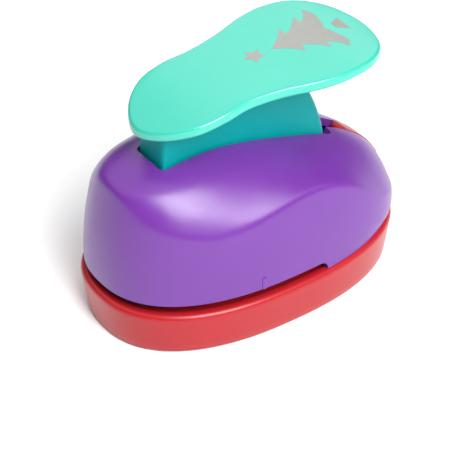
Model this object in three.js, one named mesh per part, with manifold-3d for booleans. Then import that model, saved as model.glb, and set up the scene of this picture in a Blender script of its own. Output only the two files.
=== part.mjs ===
// A lever craft punch that cuts a tree, its star and its trunk out of paper.
// Millimetres, +Z up. The origin is under the middle of the base, and +Y points to the raised end
// of the lever. Paper goes in at the -Y end, between the base and the cover.
import * as THREE from "three";
import { mergeVertices } from "three/addons/utils/BufferGeometryUtils.js";
import Module from "manifold-3d";

const wasm = await Module();
wasm.setup();

// ---- Driving dimensions ----

// The body's plan is an oval: a superellipse of this size, power and number of sides.
const BODY_LENGTH = 86.6;
const BODY_WIDTH = 54.4;
const OVAL_POWER = 2.36;
const OVAL_SIDES = 48;

// Heights of the layers, from the table up.
const FLOOR_GAP = 0.4;
const DECK_UNDER = 8.9;
const DIE_UNDER = 9.9;
const DIE_TOP = 12.4;
const RIM_TOP = 12.5;
const THROAT_TOP = 14.9;
const COVER_EDGE = 15.3;
const GUIDE_TOP = 22;
const HEAD_UNDER = 26.5;
const HEAD_TOP = 31;

// The lever turns on the pivot. Its nose pushes the punch head straight down.
const PIVOT_Y = -24;
const PIVOT_Z = 33;
const NOSE_WIDTH = PIVOT_Z - HEAD_TOP;
const PIN_RADIUS = 1.5;
const PIN_HALF = 10.8;
const EAR_X = [6.2, 9.2];
const CLIP_X = [9.4, 10.2];
const CLIP_RADIUS = 2.8;

const BASE_WALL = 2.2;
const BASE_FLARE = 1.3;
const RIM_RADIUS = 1.8;
const COVER_WALL = 2;
const COVER_INSET = 0.9;
const COVER_LEAN = 0.005;
const REAR_BULGE = 0.9;
const SLOT_END = 9.5;

// The cover's opening for the lever, and the narrow slit behind it for the base's spine.
const SLOT_HALF = 6;
const SLOT_FRONT = -26.9;
const SLOT_REAR = 25.3;
const SLIT_HALF = 2.7;
const SLIT_GAP = 0.3;
const SPINE_FRONT = 30.6;

const STEM_HALF = 5.4;
const STEM_FRONT = -26.1;
const STEM_LOW = 35.6;
const STEM_REAR = { at: [-27.2, 28.2], radius: 51.1 };
const HUB_RADIUS = 4.3;
const PLATE_THICK = 3;
const KEY_HALF = 3;
const KEY_DEPTH = 4;
const KEY_Y = [-20, 10];

// The frame that holds die and punch: a rounded plate that reaches back to the spacer.
const FRAME_HALF = 18;
const FRAME_FRONT = -29;
const FRAME_REAR = 26.5;
const SPACER_FRONT = 15;
const HEAD_HALF = [12.5, 15];
const WING_HALF = [18, 5];
const POST_X = 14.5;
const POST_RADIUS = 1.5;
const SPRING_SEAT = 19;
const SPRING_RADIUS = 2.45;
const SPRING_WIRE = 0.35;
const SPRING_TURNS = 3.5;

const CUTTER_UNDER = 15.3;
const RUNNING_GAP = 0.15;
const TREE_TIP = -6.5;
const STAR_RADIUS = 2.72;

const FRAME_SCREW_Y = 20.5;
const FRAME_SCREW_X = [-15, -5, 5, 15];
const BASE_SCREWS = { front: -16, rear: 11 };
const BASE_SCREW_X = 15.5;
const COVER_SCREW = [13, 32];
const PROP = [14.4, -22];
const HEAD_SCREW_X = 3.4;
const HEAD_SCREW_Y = 4.6;
const LEVER_SCREW_Y = [-15, -6.5, 8.5];
const LEVER_SCREW_GRIP = 3;
const FOOT = [15.5, 24.5];
const FOOT_RADIUS = 3;

const SMALL_SCREW = { headRadius: 2.2, headHeight: 1.4, radius: 1.1, length: 2.7 };
const COVER_SCREW_SIZE = { ...SMALL_SCREW, length: 10.5 };
const FRAME_SCREW = { headRadius: 2.4, headHeight: 1.5, radius: 1.25, length: 11.6 };
const FLUSH_SCREW = { headRadius: 1.8, headHeight: 1.2, radius: 0.95, length: 9 };
const FLUSH_DEPTH = 1.5;
const LEVER_SCREW = { headRadius: 2, headHeight: 1.4, radius: 1, length: 7.5 };
const PEG_RADIUS = 0.9;
const PEG_PLACES = [
  [0, TREE_TIP - 3.4],
  [0, TREE_TIP + 18.1],
];

const MATERIALS = {
  red: plastic(0xd63a40, 0.25),
  purple: plastic(0x8a55b8, 0.35),
  teal: plastic(0x17b0ad, 0.35),
  mint: plastic(0x59e3ca, 0.3),
  steel: metal(0xb9bcc0, 0.35),
  zinc: metal(0xa9a8a2, 0.5),
  rubber: plastic(0x303234, 0.9),
};

function plastic(color, roughness) {
  return new THREE.MeshStandardMaterial({ color, roughness, metalness: 0 });
}

function metal(color, roughness) {
  return new THREE.MeshStandardMaterial({ color, roughness, metalness: 1 });
}

// ---- Solids ----

// A closed three.js geometry as a manifold-3d solid, for joining and cutting.
function solid(geometry) {
  const bare = geometry.index ? geometry.toNonIndexed() : geometry.clone();
  bare.deleteAttribute("normal");
  bare.deleteAttribute("uv");
  const merged = mergeVertices(bare, 1e-4);
  return new wasm.Manifold(
    new wasm.Mesh({
      numProp: 3,
      vertProperties: merged.attributes.position.array,
      triVerts: new Uint32Array(merged.index.array),
    }),
  );
}

const joined = (first, ...others) => others.reduce((sum, one) => sum.add(one), first);
const cut = (body, ...tools) => tools.reduce((rest, tool) => rest.subtract(tool), body);

function box([x0, x1], [y0, y1], [z0, z1]) {
  const block = new THREE.BoxGeometry(x1 - x0, y1 - y0, z1 - z0);
  return solid(block.translate((x0 + x1) / 2, (y0 + y1) / 2, (z0 + z1) / 2));
}

// An upright cylinder from z0 to z1.
function post(radius, [x, y], [z0, z1], sides = 16) {
  const rod = new THREE.CylinderGeometry(radius, radius, z1 - z0, sides);
  return solid(rod.rotateX(Math.PI / 2).translate(x, y, (z0 + z1) / 2));
}

// A cylinder along X, from x0 to x1.
function axle(radius, [y, z], [x0, x1], sides = 20) {
  const rod = new THREE.CylinderGeometry(radius, radius, x1 - x0, sides);
  return solid(rod.rotateZ(Math.PI / 2).translate((x0 + x1) / 2, y, z));
}

// A plan outline raised from z0 to z1. A positive grow moves its sides out by that much.
function slab(shape, [z0, z1], grow = 0) {
  const outline = { depth: z1 - z0, curveSegments: 5, bevelEnabled: grow !== 0 };
  const offset = { bevelSize: grow, bevelThickness: 0, bevelSegments: 0 };
  return solid(new THREE.ExtrudeGeometry(shape, { ...outline, ...offset }).translate(0, 0, z0));
}

// A side outline, drawn in (y, z), as wide as 2 x half along X.
function sideSlab(shape, half) {
  const raised = new THREE.ExtrudeGeometry(shape, {
    depth: 2 * half,
    curveSegments: 6,
    bevelEnabled: false,
  });
  const turn = new THREE.Matrix4().makeBasis(
    new THREE.Vector3(0, 1, 0),
    new THREE.Vector3(0, 0, 1),
    new THREE.Vector3(1, 0, 0),
  );
  return solid(raised.applyMatrix4(turn).translate(-half, 0, 0));
}

function polygon(points) {
  return new THREE.Shape(points.map(([u, v]) => new THREE.Vector2(u, v)));
}

function roundedRect([x0, x1], [y0, y1], radius) {
  const shape = new THREE.Shape();
  shape.absarc(x1 - radius, y1 - radius, radius, 0, Math.PI / 2);
  shape.absarc(x0 + radius, y1 - radius, radius, Math.PI / 2, Math.PI);
  shape.absarc(x0 + radius, y0 + radius, radius, Math.PI, 1.5 * Math.PI);
  shape.absarc(x1 - radius, y0 + radius, radius, 1.5 * Math.PI, 2 * Math.PI);
  return shape;
}

// A screw whose head seats at height z, with its shank pointing up (way 1) or down (way -1).
function screw([x, y], z, way, { headRadius, headHeight, radius, length }) {
  const profile = [
    [0, -headHeight],
    [headRadius, -headHeight],
    [headRadius, 0],
    [radius, 0],
    [radius, length],
    [0, length],
  ];
  const points = profile.map(([r, along]) => new THREE.Vector2(r, along));
  const lathe = new THREE.LatheGeometry(points, 12);
  return solid(lathe.rotateX((way * Math.PI) / 2).translate(x, y, z));
}

// A closed body of rings. Each ring is a function of the angle round the body; the first and
// the last ring are single points.
function ringBody(rings) {
  const last = rings.length - 1;
  const isPole = (i) => i === 0 || i === last;
  const profile = rings.map((ring, i) => new THREE.Vector2(isPole(i) ? 0 : 1, i));
  const lathe = new THREE.LatheGeometry(profile, OVAL_SIDES);
  const points = lathe.attributes.position;
  for (let v = 0; v < points.count; v++) {
    const ring = rings[Math.round(points.getY(v))];
    points.setXYZ(v, ...ring(Math.atan2(points.getX(v), points.getZ(v))));
  }
  return solid(lathe);
}

// ---- Curves ----

const bend = (t) => Math.sign(t) * Math.abs(t) ** (2 / OVAL_POWER);

// The point of the body's oval, drawn in by an inset, at an angle from the front.
function oval(inset, angle) {
  const x = (BODY_WIDTH / 2 - inset) * bend(Math.sin(angle));
  const y = -(BODY_LENGTH / 2 - inset) * bend(Math.cos(angle));
  return [x, y];
}

const ovalRing = (inset, z) => (angle) => [...oval(inset, angle), z];
const pole = (y, z) => () => [0, y, z];

// A smooth height along the body, through points (y, z) given from front to rear.
function heightAlong(points) {
  const curve = new THREE.SplineCurve(points.map(([y, z]) => new THREE.Vector2(y, z)));
  const steps = curve.getPoints(120);
  return (y) => {
    const next = steps.findIndex((step) => step.x > y);
    if (next < 0) return steps.at(-1).y;
    if (next === 0) return steps[0].y;
    const [a, b] = [steps[next - 1], steps[next]];
    return a.y + ((b.y - a.y) * (y - a.x)) / (b.x - a.x);
  };
}

const smooth = (y0, y1, y) => THREE.MathUtils.smoothstep(y, y0, y1);

// The cover's crest along its middle, and the shoulder where its side wall meets the dome.
const crest = heightAlong([
  [-43.3, 40],
  [-39, 43.4],
  [-33, 45.3],
  [-25, 46.5],
  [-14, 47.2],
  [-4, 45.7],
  [10, 41.8],
  [24, 37.1],
  [33, 32.3],
  [39, 27.2],
  [43.3, 21],
]);
const shoulder = heightAlong([
  [-43, 40],
  [-36, 36.8],
  [-26, 33.6],
  [-17, 33.6],
  [4, 37.3],
  [17, 34.2],
  [30, 24],
  [44, 16],
]);
const DOME_CENTRE = -4;
const DOME_RINGS = [0.97, 0.9, 0.78, 0.6, 0.42, 0.2];
const DOME_POWER = { front: 3.4, rear: 2.4 };

// The cover's side wall leans in as it rises, and bulges a little round the rear above its edge.
function wallInset(y, z, bulge) {
  const lean = COVER_LEAN * Math.max(z - COVER_EDGE, 0) ** 2;
  return COVER_INSET + lean - bulge * smooth(12, 36, y);
}

function wallPoint(angle, share, low, inside) {
  const [, y] = oval(COVER_INSET, angle);
  const z = low + share * (shoulder(y) - inside / 2 - low);
  const inset = wallInset(y, z, share > 0 ? REAR_BULGE : 0) + inside;
  return [...oval(inset, angle), z];
}

// The height of the dome over a point of the plan: from the shoulder at the wall up to the crest.
function domeHeight(x, y, inside) {
  const inset = wallInset(y, shoulder(y), REAR_BULGE) + inside;
  const along = Math.min(Math.abs(y) / (BODY_LENGTH / 2 - inset), 1);
  const half = (BODY_WIDTH / 2 - inset) * (1 - along ** OVAL_POWER) ** (1 / OVAL_POWER);
  const across = half > 0 ? Math.min(Math.abs(x) / half, 1) : 0;
  const power = THREE.MathUtils.lerp(DOME_POWER.front, DOME_POWER.rear, smooth(-30, -8, y));
  const low = shoulder(y) - inside / 2;
  return low + (crest(y) - inside - low) * (1 - across ** power);
}

// The cover's skin as a closed body, with its wall starting at `low`. `inside` draws it inwards.
function coverBody(low, inside) {
  const wall = [0, 0.12, 0.4, 0.7, 1].map(
    (share) => (angle) => wallPoint(angle, share, low, inside),
  );
  const dome = DOME_RINGS.map((share) => (angle) => {
    const [x, y] = wallPoint(angle, 1, low, inside);
    const place = [share * x, DOME_CENTRE + share * (y - DOME_CENTRE)];
    return [...place, domeHeight(...place, inside)];
  });
  const top = pole(DOME_CENTRE, crest(DOME_CENTRE) - inside);
  return ringBody([pole(DOME_CENTRE, low), ...wall, ...dome, top]);
}

// ---- The motif ----

// The tree, mirrored from its right half: three tiers of boughs with hollow upper edges.
function treeShape() {
  const half = new THREE.Path();
  half.quadraticCurveTo(1.9, 3.2, 6, 4.9);
  half.quadraticCurveTo(4.4, 5.9, 2.9, 5.6);
  half.quadraticCurveTo(4.4, 8.6, 8.6, 10.3);
  half.quadraticCurveTo(7.4, 11, 5.9, 10.8);
  half.quadraticCurveTo(7.6, 12.6, 10.5, 13.7);
  half.quadraticCurveTo(8.6, 15.6, 6, 15.6);
  half.quadraticCurveTo(3, 15.4, 0, 14.2);
  const right = half.getPoints(4);
  const left = right.slice(1, -1).reverse();
  const outline = [...right.map(({ x, y }) => [x, y]), ...left.map(({ x, y }) => [-x, y])];
  return polygon(outline.map(([x, y]) => [x, y + TREE_TIP]));
}

function starShape() {
  const centre = TREE_TIP - 3.4;
  const points = [];
  for (let i = 0; i < 10; i++) {
    const radius = i % 2 ? 0.45 * STAR_RADIUS : STAR_RADIUS;
    const angle = (i * Math.PI) / 5;
    points.push([radius * Math.sin(angle), centre - radius * Math.cos(angle)]);
  }
  return polygon(points);
}

function trunkShape() {
  const [top, foot] = [TREE_TIP + 16.5, TREE_TIP + 19.1];
  return polygon([
    [-0.95, top],
    [0.95, top],
    [2.6, foot],
    [-2.6, foot],
  ]);
}

const MOTIF = { tree: treeShape(), star: starShape(), trunk: trunkShape() };
const motifHoles = (range) => Object.values(MOTIF).map((shape) => slab(shape, range, RUNNING_GAP));

// ---- Places of repeated pieces ----

const SIDES = [
  ["left", -1],
  ["right", 1],
];

// A span of distances from the middle, on the left (side -1) or the right (side 1).
const span = (side, distances) => distances.map((x) => side * x).sort((a, b) => a - b);

// The four corners at (x, y) and its mirror images.
function corners(x, front, rear = -front) {
  return [
    { name: "front_left", at: [-x, front] },
    { name: "front_right", at: [x, front] },
    { name: "rear_left", at: [-x, rear] },
    { name: "rear_right", at: [x, rear] },
  ];
}

const FEET = corners(FOOT[0], -FOOT[1]);
const BASE_SCREW_PLACES = corners(BASE_SCREW_X, BASE_SCREWS.front, BASE_SCREWS.rear);
const COVER_SCREW_PLACES = SIDES.map(([, side]) => [side * COVER_SCREW[0], COVER_SCREW[1]]);
const FRAME_SCREW_PLACES = FRAME_SCREW_X.map((x) => [x, FRAME_SCREW_Y]);
const POST_PLACES = SIDES.map(([, side]) => [side * POST_X, 0]);
const HEAD_SCREW_PLACES = SIDES.map(([, side]) => [side * HEAD_SCREW_X, HEAD_SCREW_Y]);

// Round holes with a screw's number of sides. A clearance hole is wider than its screw.
const holes = (places, radius, range) => places.map((at) => post(radius, at, range, 12));

// ---- Base ----

// The rim's outer edge is a quarter round.
function rimRings() {
  return [0, 0.35, 0.7, 1].map((step) => {
    const turn = (step * Math.PI) / 2;
    const inset = RIM_RADIUS * (1 - Math.cos(turn));
    return ovalRing(inset, RIM_TOP - RIM_RADIUS * (1 - Math.sin(turn)));
  });
}

function baseShell() {
  const skin = ringBody([
    pole(0, FLOOR_GAP),
    ovalRing(BASE_FLARE, FLOOR_GAP),
    ...rimRings(),
    pole(0, RIM_TOP),
  ]);
  const hollow = ringBody([
    pole(0, -1),
    ovalRing(BASE_WALL + BASE_FLARE, -1),
    ovalRing(BASE_WALL, DECK_UNDER),
    pole(0, DECK_UNDER),
  ]);
  const columns = FEET.map(({ at }) => post(FOOT_RADIUS + 0.8, at, [1.6, DECK_UNDER + 0.5]));
  const pocket = roundedRect([-FRAME_HALF - 0.7, FRAME_HALF + 0.7], [-20.7, FRAME_REAR + 0.3], 3);
  const chute = box([-HEAD_HALF[0], HEAD_HALF[0]], [-14, 14], [0, RIM_TOP]);
  return cut(
    joined(cut(skin, hollow), ...columns),
    slab(pocket, [DIE_UNDER, RIM_TOP + 1]),
    chute,
    ...holes(BASE_SCREW_PLACES.map(({ at }) => at), SMALL_SCREW.radius + 0.1, [0, DIE_UNDER + 1]),
    ...holes(COVER_SCREW_PLACES, SMALL_SCREW.radius + 0.1, [0, RIM_TOP + 1]),
  );
}

// The rib that fills most of the slit at the rear of the cover, in the base's colour.
function rearSpine() {
  const half = SLIT_HALF - SLIT_GAP;
  return box([-half, half], [SPINE_FRONT, 50], [RIM_TOP, 60]).intersect(coverBody(RIM_TOP, 0));
}

function foot([x, y]) {
  return post(FOOT_RADIUS, [x, y], [0, 1.6], 20);
}

// ---- Cover ----

function coverShell() {
  const outer = coverBody(RIM_TOP + 0.1, 0);
  const hollow = coverBody(RIM_TOP - 3, COVER_WALL);
  const bosses = COVER_SCREW_PLACES.map((at) => post(3.2, at, [RIM_TOP + 0.1, 40]));
  const props = SIDES.map(([, side]) => post(2.2, [side * PROP[0], PROP[1]], [GUIDE_TOP + 0.1, 60]));
  const inner = joined(...bosses, ...props).intersect(outer);
  const slot = roundedRect([-SLOT_HALF, SLOT_HALF], [SLOT_FRONT, SLOT_REAR], 1.6);
  return cut(
    joined(cut(outer, hollow), inner),
    paperGap(),
    slab(slot, [20, 60]),
    box([-SLIT_HALF, SLIT_HALF], [SLOT_REAR - 1, 50], [0, 60]),
    ...holes(COVER_SCREW_PLACES, SMALL_SCREW.radius, [0, RIM_TOP + 8]),
  );
}

// The space under the cover's edge where paper slides in, with a round inner corner.
function paperGap() {
  const corner = 1.4;
  const side = new THREE.Shape();
  side.moveTo(-60, 0);
  side.lineTo(SLOT_END, 0);
  side.absarc(SLOT_END - corner, COVER_EDGE - corner, corner, 0, Math.PI / 2);
  side.lineTo(-60, COVER_EDGE);
  return sideSlab(side, BODY_WIDTH);
}

// ---- Punch frame ----

function diePlate() {
  return cut(
    slab(roundedRect([-FRAME_HALF, FRAME_HALF], [-20, FRAME_REAR], 2.5), [DIE_UNDER, DIE_TOP]),
    ...motifHoles([0, 20]),
    ...holes(FRAME_SCREW_PLACES, FRAME_SCREW.radius, [0, 20]),
    ...holes(BASE_SCREW_PLACES.map(({ at }) => at), SMALL_SCREW.radius, [0, DIE_TOP - 0.6]),
  );
}

function throatSpacer() {
  const bar = roundedRect([-FRAME_HALF, FRAME_HALF], [SPACER_FRONT, FRAME_REAR], 1.5);
  return cut(
    slab(bar, [DIE_TOP, THROAT_TOP]),
    ...holes(FRAME_SCREW_PLACES, FRAME_SCREW.radius + 0.1, [0, 20]),
  );
}

// The plate over the paper: it guides the cutters, seats the springs and carries the pivot.
function guideBlock() {
  const outline = roundedRect([-FRAME_HALF, FRAME_HALF], [FRAME_FRONT, FRAME_REAR], 5);
  const plate = slab(outline, [THROAT_TOP, GUIDE_TOP]);
  const ears = SIDES.map(([, side]) => {
    const across = span(side, EAR_X);
    const web = box(across, [PIVOT_Y - HUB_RADIUS, PIVOT_Y + HUB_RADIUS], [GUIDE_TOP - 1, PIVOT_Z]);
    return web.add(axle(HUB_RADIUS, [PIVOT_Y, PIVOT_Z], across, 28));
  });
  const springPocket = (at) => post(SPRING_RADIUS + 0.8, at, [SPRING_SEAT, GUIDE_TOP + 1], 20);
  return cut(
    joined(plate, ...ears),
    ...motifHoles([0, GUIDE_TOP + 1]),
    ...POST_PLACES.map(springPocket),
    ...POST_PLACES.map((at) => post(POST_RADIUS + 0.02, at, [THROAT_TOP + 0.6, GUIDE_TOP])),
    ...holes(FRAME_SCREW_PLACES, FRAME_SCREW.radius + 0.1, [0, GUIDE_TOP + 1]),
    axle(PIN_RADIUS + 0.02, [PIVOT_Y, PIVOT_Z], [-12, 12]),
  );
}

const pivotPin = () => axle(PIN_RADIUS, [PIVOT_Y, PIVOT_Z], [-PIN_HALF, PIN_HALF]);

// A retaining ring on the pin's end, outside the ear.
function pinClip(side) {
  const across = span(side, CLIP_X);
  const place = [PIVOT_Y, PIVOT_Z];
  return cut(axle(CLIP_RADIUS, place, across), axle(PIN_RADIUS + 0.05, place, [-12, 12]));
}

function guidePost(side) {
  return post(POST_RADIUS, [side * POST_X, 0], [THROAT_TOP + 0.7, HEAD_TOP + 3.4]);
}

// A coil spring round a guide post, from its seat to the head's underside.
function returnSpring(side) {
  const [low, high] = [SPRING_SEAT + SPRING_WIRE + 0.05, HEAD_UNDER - SPRING_WIRE - 0.05];
  class Helix extends THREE.Curve {
    getPoint(t, target = new THREE.Vector3()) {
      const turn = 2 * Math.PI * SPRING_TURNS * t;
      const [x, y] = [SPRING_RADIUS * Math.cos(turn), SPRING_RADIUS * Math.sin(turn)];
      return target.set(side * POST_X + x, y, low + (high - low) * t);
    }
  }
  const wire = new THREE.Shape().absarc(0, 0, SPRING_WIRE, 0, 2 * Math.PI);
  return solid(
    new THREE.ExtrudeGeometry(wire, {
      steps: 12 * SPRING_TURNS,
      curveSegments: 3,
      extrudePath: new Helix(),
    }),
  );
}

// ---- Punch ----

function punchHead() {
  const block = ([halfX, halfY]) =>
    slab(roundedRect([-halfX, halfX], [-halfY, halfY], 2), [HEAD_UNDER, HEAD_TOP]);
  return cut(
    joined(block(HEAD_HALF), block(WING_HALF)),
    ...POST_PLACES.map((at) => post(POST_RADIUS + 0.08, at, [0, 40])),
    ...holes(HEAD_SCREW_PLACES, FLUSH_SCREW.radius + 0.1, [0, 40]),
    ...holes(HEAD_SCREW_PLACES, FLUSH_SCREW.headRadius + 0.1, [HEAD_TOP - FLUSH_DEPTH, 40]),
    ...holes(PEG_PLACES, PEG_RADIUS + 0.05, [0, 40]),
  );
}

function treeCutter() {
  return cut(
    slab(MOTIF.tree, [CUTTER_UNDER, HEAD_UNDER]),
    ...holes(HEAD_SCREW_PLACES, FLUSH_SCREW.radius, [HEAD_UNDER - 7, 40]),
  );
}

// A small cutter, held in the head by a round peg.
function peggedCutter(shape, at) {
  const blade = slab(shape, [CUTTER_UNDER, HEAD_UNDER]);
  return blade.add(post(PEG_RADIUS, at, [HEAD_UNDER - 1, HEAD_TOP - 0.2], 12));
}

// ---- Lever ----

// The plate's upper side, from its front tip to its rear tip, as (y, z).
const PLATE_TOP = [
  [-32, 56.6],
  [-23, 60],
  [-8.5, 62.7],
  [10, 63.8],
  [26, 64],
  [38.4, 62.2],
];
const plateTop = heightAlong(PLATE_TOP);

// The plate's side outline between two depths under its upper side.
function plateLayer(from, to, [y0, y1]) {
  const steps = Array.from({ length: 17 }, (_, i) => y0 + ((y1 - y0) * i) / 16);
  const lower = steps.map((y) => [y, plateTop(y) - to]);
  const upper = steps.map((y) => [y, plateTop(y) - from]).reverse();
  return polygon([...lower, ...upper]);
}

// The thumb plate's outline: a closed curve through these points and their mirror images, from
// the front tip over the narrow waist to the broad rear.
function plateOutline() {
  const tips = { front: [0, -30.5], rear: [0, 38.3] };
  const side = [
    [7.7, -27.3],
    [12.8, -20.7],
    [14, -13.5],
    [13.6, -6],
    [15, 3],
    [17.7, 12],
    [18.6, 19.6],
    [16.8, 28.5],
    [10.9, 35.4],
  ];
  const mirror = side.map(([x, y]) => [-x, y]).reverse();
  const points = [tips.front, ...side, tips.rear, ...mirror];
  const curve = new THREE.CatmullRomCurve3(
    points.map(([x, y]) => new THREE.Vector3(x, y, 0)),
    true,
  );
  return polygon(curve.getPoints(64).slice(1).map(({ x, y }) => [x, y]));
}

function leverPlate() {
  const plate = sideSlab(plateLayer(0, PLATE_THICK, [-32, 38.8]), 20);
  const key = sideSlab(plateLayer(PLATE_THICK - 1, PLATE_THICK + KEY_DEPTH, KEY_Y), KEY_HALF);
  return cut(
    joined(plate.intersect(slab(plateOutline(), [40, 80])), key),
    ...leverScrewHoles(LEVER_SCREW.radius, 6),
  );
}

// Holes for the lever's screws, up to where their tips end; `down` is how far they start below.
function leverScrewHoles(radius, down) {
  return LEVER_SCREW_Y.map((y) => {
    const seat = leverScrewSeat(y);
    return post(radius, [0, y], [seat - down, seat + LEVER_SCREW.length + 0.3], 12);
  });
}

// The height where a lever screw's head seats, the screw's grip below the plate's key.
const leverScrewSeat = (y) => plateTop(y) - PLATE_THICK - KEY_DEPTH - LEVER_SCREW_GRIP;

// The stem's side: hub round the pivot, nose over the punch head, and an arched rear face that
// never reaches further back than its lower end as the lever turns.
function stemOutline() {
  const side = new THREE.Shape();
  const { at, radius } = STEM_REAR;
  const turnAt = (z) => Math.asin((z - at[1]) / radius);
  side.moveTo(STEM_FRONT, 62);
  side.lineTo(STEM_FRONT, 44);
  side.absarc(PIVOT_Y, PIVOT_Z, HUB_RADIUS, 0.83 * Math.PI, 1.8 * Math.PI);
  side.lineTo(-NOSE_WIDTH - 3, PIVOT_Z - 0.4);
  side.absarc(0, PIVOT_Z, NOSE_WIDTH, 1.1 * Math.PI, 1.9 * Math.PI);
  side.lineTo(NOSE_WIDTH + 1, PIVOT_Z - 0.1);
  side.absarc(...at, radius, turnAt(STEM_LOW), turnAt(62));
  return side;
}

function leverStem() {
  const round = roundedRect([-STEM_HALF, STEM_HALF], [-29, 23], 1.6);
  const under = sideSlab(plateLayer(PLATE_THICK + 0.02, 60, [-32, 38.4]), STEM_HALF + 1);
  const groove = [KEY_Y[0] - 0.15, KEY_Y[1] + 0.15];
  const key = sideSlab(plateLayer(0, PLATE_THICK + KEY_DEPTH + 0.1, groove), KEY_HALF + 0.1);
  const bores = LEVER_SCREW_Y.map((y) => post(2.4, [0, y], [20, leverScrewSeat(y)], 16));
  return cut(
    sideSlab(stemOutline(), STEM_HALF).intersect(under).intersect(slab(round, [20, 70])),
    key,
    axle(PIN_RADIUS + 0.06, [PIVOT_Y, PIVOT_Z], [-12, 12]),
    ...bores,
    ...leverScrewHoles(LEVER_SCREW.radius + 0.1, 6),
  );
}

// ---- The assembly ----

const punch = new THREE.Group();

function addPiece(name, made, material) {
  const { numProp, vertProperties, triVerts } = made.getMesh();
  const geometry = new THREE.BufferGeometry();
  geometry.setAttribute("position", new THREE.BufferAttribute(vertProperties, numProp));
  geometry.setIndex(new THREE.BufferAttribute(triVerts, 1));
  geometry.computeVertexNormals();
  const mesh = new THREE.Mesh(geometry, material);
  mesh.name = name;
  punch.add(mesh);
}

const { red, purple, teal, mint, steel, zinc, rubber } = MATERIALS;

addPiece("base_shell", baseShell(), red);
addPiece("rear_spine", rearSpine(), red);
addPiece("cover_shell", coverShell(), purple);
addPiece("die_plate", diePlate(), steel);
addPiece("throat_spacer", throatSpacer(), zinc);
addPiece("guide_block", guideBlock(), zinc);
addPiece("pivot_pin", pivotPin(), steel);
addPiece("lever_plate", leverPlate(), mint);
addPiece("lever_stem", leverStem(), teal);
addPiece("punch_head", punchHead(), zinc);
addPiece("tree_cutter", treeCutter(), steel);
addPiece("star_cutter", peggedCutter(MOTIF.star, PEG_PLACES[0]), steel);
addPiece("trunk_cutter", peggedCutter(MOTIF.trunk, PEG_PLACES[1]), steel);

for (const [name, side] of SIDES) {
  const [x, y] = [side * COVER_SCREW[0], COVER_SCREW[1]];
  addPiece(`pin_clip_${name}`, pinClip(side), steel);
  addPiece(`guide_post_${name}`, guidePost(side), steel);
  addPiece(`return_spring_${name}`, returnSpring(side), steel);
  addPiece(`cover_screw_${name}`, screw([x, y], DECK_UNDER, 1, COVER_SCREW_SIZE), steel);
  const place = [side * HEAD_SCREW_X, HEAD_SCREW_Y];
  addPiece(`head_screw_${name}`, screw(place, HEAD_TOP - FLUSH_DEPTH, -1, FLUSH_SCREW), steel);
}
for (const { name, at } of FEET) addPiece(`foot_${name}`, foot(at), rubber);
for (const { name, at } of BASE_SCREW_PLACES) {
  addPiece(`base_screw_${name}`, screw(at, DECK_UNDER, 1, SMALL_SCREW), steel);
}
FRAME_SCREW_PLACES.forEach((at, i) => {
  addPiece(`frame_screw_${i + 1}`, screw(at, GUIDE_TOP, -1, FRAME_SCREW), steel);
});
LEVER_SCREW_Y.forEach((y, i) => {
  addPiece(`lever_screw_${i + 1}`, screw([0, y], leverScrewSeat(y), 1, LEVER_SCREW), steel);
});

export default punch;
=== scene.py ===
# %% [markdown]
# A lever craft punch: a red base, a purple cover, and a teal stem that carries a mint thumb plate
# with a silver picture of what it cuts. The working parts come from a fixed frame in metres. This
# lesson builds the smooth plastic round them, ring by ring, then gives every surface its finish.

import math

import bmesh
import bpy
import numpy as np
from mathutils import Matrix, Vector


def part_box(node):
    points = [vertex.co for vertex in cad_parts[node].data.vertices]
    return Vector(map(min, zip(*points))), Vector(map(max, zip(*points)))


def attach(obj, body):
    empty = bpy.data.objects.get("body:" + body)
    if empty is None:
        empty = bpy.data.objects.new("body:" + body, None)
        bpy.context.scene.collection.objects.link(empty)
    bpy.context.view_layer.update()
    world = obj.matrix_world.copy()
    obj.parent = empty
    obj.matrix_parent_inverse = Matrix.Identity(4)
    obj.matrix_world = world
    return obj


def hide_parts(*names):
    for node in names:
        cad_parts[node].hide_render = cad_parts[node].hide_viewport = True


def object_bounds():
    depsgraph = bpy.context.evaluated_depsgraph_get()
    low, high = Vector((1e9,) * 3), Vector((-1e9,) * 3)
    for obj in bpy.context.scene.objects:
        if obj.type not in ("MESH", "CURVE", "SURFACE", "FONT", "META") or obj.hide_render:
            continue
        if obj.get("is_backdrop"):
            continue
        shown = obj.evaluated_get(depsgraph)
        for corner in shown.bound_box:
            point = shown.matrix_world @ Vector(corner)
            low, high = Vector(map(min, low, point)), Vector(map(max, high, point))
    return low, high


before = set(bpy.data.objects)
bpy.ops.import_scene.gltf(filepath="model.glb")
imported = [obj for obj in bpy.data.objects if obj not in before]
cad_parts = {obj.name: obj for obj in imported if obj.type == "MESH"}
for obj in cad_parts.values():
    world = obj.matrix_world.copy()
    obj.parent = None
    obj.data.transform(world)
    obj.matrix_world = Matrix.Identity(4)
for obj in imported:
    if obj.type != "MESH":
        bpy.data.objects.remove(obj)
cad_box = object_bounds()

# %% [markdown]
# Shapes are drawn in millimetres, as a maker thinks of them, and turned to metres when a piece is
# finished. What the frame already knows is read from it, so the looks always follow the mechanism.

# %% Sizes from the frame
MM = 0.001


def box_mm(node):
    """The lowest and highest corner of a node, in millimetres."""
    low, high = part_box(node)
    return low / MM, high / MM


def centre_mm(node):
    low, high = box_mm(node)
    return (low + high) / 2


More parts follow.
